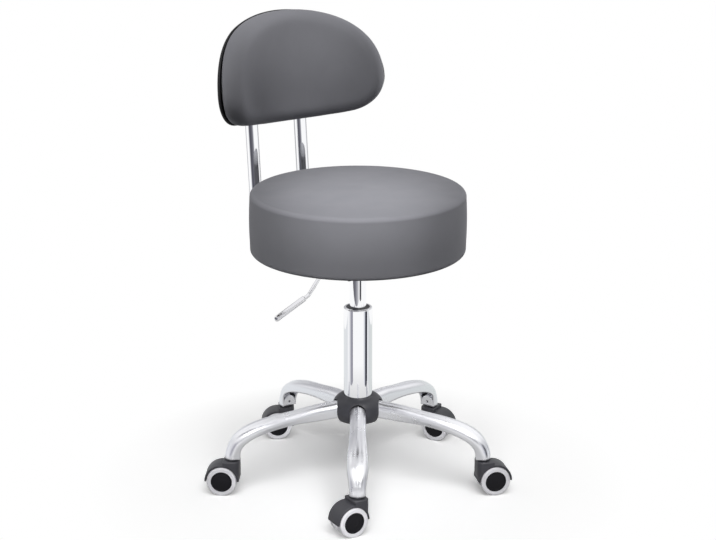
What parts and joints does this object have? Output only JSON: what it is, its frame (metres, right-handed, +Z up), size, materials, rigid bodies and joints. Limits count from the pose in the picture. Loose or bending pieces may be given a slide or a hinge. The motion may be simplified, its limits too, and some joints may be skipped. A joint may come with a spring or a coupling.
{
  "type": "rolling stool with backrest",
  "caption": "Rolling stool: round padded seat and curved padded backrest on chrome uprights, gas-spring column with lift lever, star base on swivel casters.",
  "frame": {"origin": "on the column's axis at floor level", "axes": "+Z up; the sitter faces -Y with the right hand towards -X, the lift lever's side; the backrest is at +Y"},
  "size_m": [0.5051, 0.4851, 0.7763],
  "materials": {
    "chrome": "polished",
    "steel": "satin",
    "black_paint": "satin",
    "black_plastic": "satin",
    "wheel_disc": "satin",
    "tread": "satin",
    "aluminium": "satin",
    "black_rubber": "matte",
    "plywood": "matte",
    "cover": "satin"
  },
  "bodies": {
    "base": {"hub_socket": "steel", "hub_cover": "black_plastic", "leg_1": "chrome", "leg_2": "chrome", "leg_3": "chrome", "leg_4": "chrome", "leg_5": "chrome", "caster_stems": "steel", "outer_column": "chrome", "guide_bush": "black_plastic", "thrust_bearing": "steel"},
    "rod": {"piston_rod": "steel", "piston": "aluminium", "rod_clip": "steel", "rubber_buffer": "black_rubber"},
    "seat": {"pressure_tube": "chrome", "rod_guide": "aluminium", "mount_plate": "black_paint", "seat_bolts": "steel", "seat_board": "plywood", "seat_cushion": "cover", "upright_left": "chrome", "upright_right": "chrome", "backrest_board": "plywood", "backrest_cushion": "cover", "backrest_shell": "black_plastic", "backrest_screws": "steel"},
    "lever": {"lever_rod": "chrome", "lever_handle": "chrome"},
    "release_pin": {"release_pin": "steel"},
    "caster_1": {"caster_1_hood": "black_plastic", "caster_1_axle": "steel"},
    "wheel_1_left": {"caster_1_wheel_left": "wheel_disc", "caster_1_tread_left": "tread"},
    "wheel_1_right": {"caster_1_wheel_right": "wheel_disc", "caster_1_tread_right": "tread"},
    "caster_2": {"caster_2_hood": "black_plastic", "caster_2_axle": "steel"},
    "wheel_2_left": {"caster_2_wheel_left": "wheel_disc", "caster_2_tread_left": "tread"},
    "wheel_2_right": {"caster_2_wheel_right": "wheel_disc", "caster_2_tread_right": "tread"},
    "caster_3": {"caster_3_hood": "black_plastic", "caster_3_axle": "steel"},
    "wheel_3_left": {"caster_3_wheel_left": "wheel_disc", "caster_3_tread_left": "tread"},
    "wheel_3_right": {"caster_3_wheel_right": "wheel_disc", "caster_3_tread_right": "tread"},
    "caster_4": {"caster_4_hood": "black_plastic", "caster_4_axle": "steel"},
    "wheel_4_left": {"caster_4_wheel_left": "wheel_disc", "caster_4_tread_left": "tread"},
    "wheel_4_right": {"caster_4_wheel_right": "wheel_disc", "caster_4_tread_right": "tread"},
    "caster_5": {"caster_5_hood": "black_plastic", "caster_5_axle": "steel"},
    "wheel_5_left": {"caster_5_wheel_left": "wheel_disc", "caster_5_tread_left": "tread"},
    "wheel_5_right": {"caster_5_wheel_right": "wheel_disc", "caster_5_tread_right": "tread"}
  },
  "joints": [
    {"name": "seat_swivel", "type": "hinge", "parent": "base", "child": "rod", "pos_m": [0, 0, 0.112], "axis": [0, 0, 1], "continuous": true},
    {"name": "seat_lift", "type": "slide", "parent": "rod", "child": "seat", "axis": [0, 0, 1], "range_m": [-0.04, 0.1]},
    {"name": "lever_lift", "type": "hinge", "parent": "seat", "child": "lever", "pos_m": [-0.03, 0, 0.38], "axis": [0, 1, 0], "range_deg": [0, 7], "stiffness_Nm_per_rad": 0.6, "springref_deg": -11.46},
    {"name": "release_pin_slide", "type": "slide", "parent": "seat", "child": "release_pin", "axis": [0, 0, 1], "range_m": [-0.0045, 0]},
    {"name": "caster_1_swivel", "type": "hinge", "parent": "base", "child": "caster_1", "pos_m": [-0.12814, -0.18165, 0.05], "axis": [0, 0, 1], "continuous": true},
    {"name": "wheel_1_left_spin", "type": "hinge", "parent": "caster_1", "child": "wheel_1_left", "pos_m": [-0.14408, -0.18026, 0.025], "axis": [-0.0872, -0.9962, 0], "continuous": true},
    {"name": "wheel_1_right_spin", "type": "hinge", "parent": "caster_1", "child": "wheel_1_right", "pos_m": [-0.14408, -0.18026, 0.025], "axis": [-0.0872, -0.9962, 0], "continuous": true},
    {"name": "caster_2_swivel", "type": "hinge", "parent": "base", "child": "caster_2", "pos_m": [0.13316, -0.178, 0.05], "axis": [0, 0, 1], "continuous": true},
    {"name": "wheel_2_left_spin", "type": "hinge", "parent": "caster_2", "child": "wheel_2_left", "pos_m": [0.14789, -0.18425, 0.025], "axis": [0.3907, 0.9205, 0], "continuous": true},
    {"name": "wheel_2_right_spin", "type": "hinge", "parent": "caster_2", "child": "wheel_2_right", "pos_m": [0.14789, -0.18425, 0.025], "axis": [0.3907, 0.9205, 0], "continuous": true},
    {"name": "caster_3_swivel", "type": "hinge", "parent": "base", "child": "caster_3", "pos_m": [0.21044, 0.07164, 0.05], "axis": [0, 0, 1], "continuous": true},
    {"name": "wheel_3_left_spin", "type": "hinge", "parent": "caster_3", "child": "wheel_3_left", "pos_m": [0.2177, 0.05738, 0.025], "axis": [0.891, 0.454, 0], "continuous": true},
    {"name": "wheel_3_right_spin", "type": "hinge", "parent": "caster_3", "child": "wheel_3_right", "pos_m": [0.2177, 0.05738, 0.025], "axis": [0.891, 0.454, 0], "continuous": true},
    {"name": "caster_4_swivel", "type": "hinge", "parent": "base", "child": "caster_4", "pos_m": [-0.0031, 0.22228, 0.05], "axis": [0, 0, 1], "continuous": true},
    {"name": "wheel_4_left_spin", "type": "hinge", "parent": "caster_4", "child": "wheel_4_left", "pos_m": [-0.01682, 0.23052, 0.025], "axis": [-0.515, -0.8572, 0], "continuous": true},
    {"name": "wheel_4_right_spin", "type": "hinge", "parent": "caster_4", "child": "wheel_4_right", "pos_m": [-0.01682, 0.23052, 0.025], "axis": [-0.515, -0.8572, 0], "continuous": true},
    {"name": "caster_5_swivel", "type": "hinge", "parent": "base", "child": "caster_5", "pos_m": [-0.21236, 0.06574, 0.05], "axis": [0, 0, 1], "continuous": true},
    {"name": "wheel_5_left_spin", "type": "hinge", "parent": "caster_5", "child": "wheel_5_left", "pos_m": [-0.22497, 0.07559, 0.025], "axis": [-0.6157, -0.788, 0], "continuous": true},
    {"name": "wheel_5_right_spin", "type": "hinge", "parent": "caster_5", "child": "wheel_5_right", "pos_m": [-0.22497, 0.07559, 0.025], "axis": [-0.6157, -0.788, 0], "continuous": true}
  ],
  "couplings": [
    {"joint": "release_pin_slide", "follows": "lever_lift", "m_per_rad": -0.0305}
  ]
}
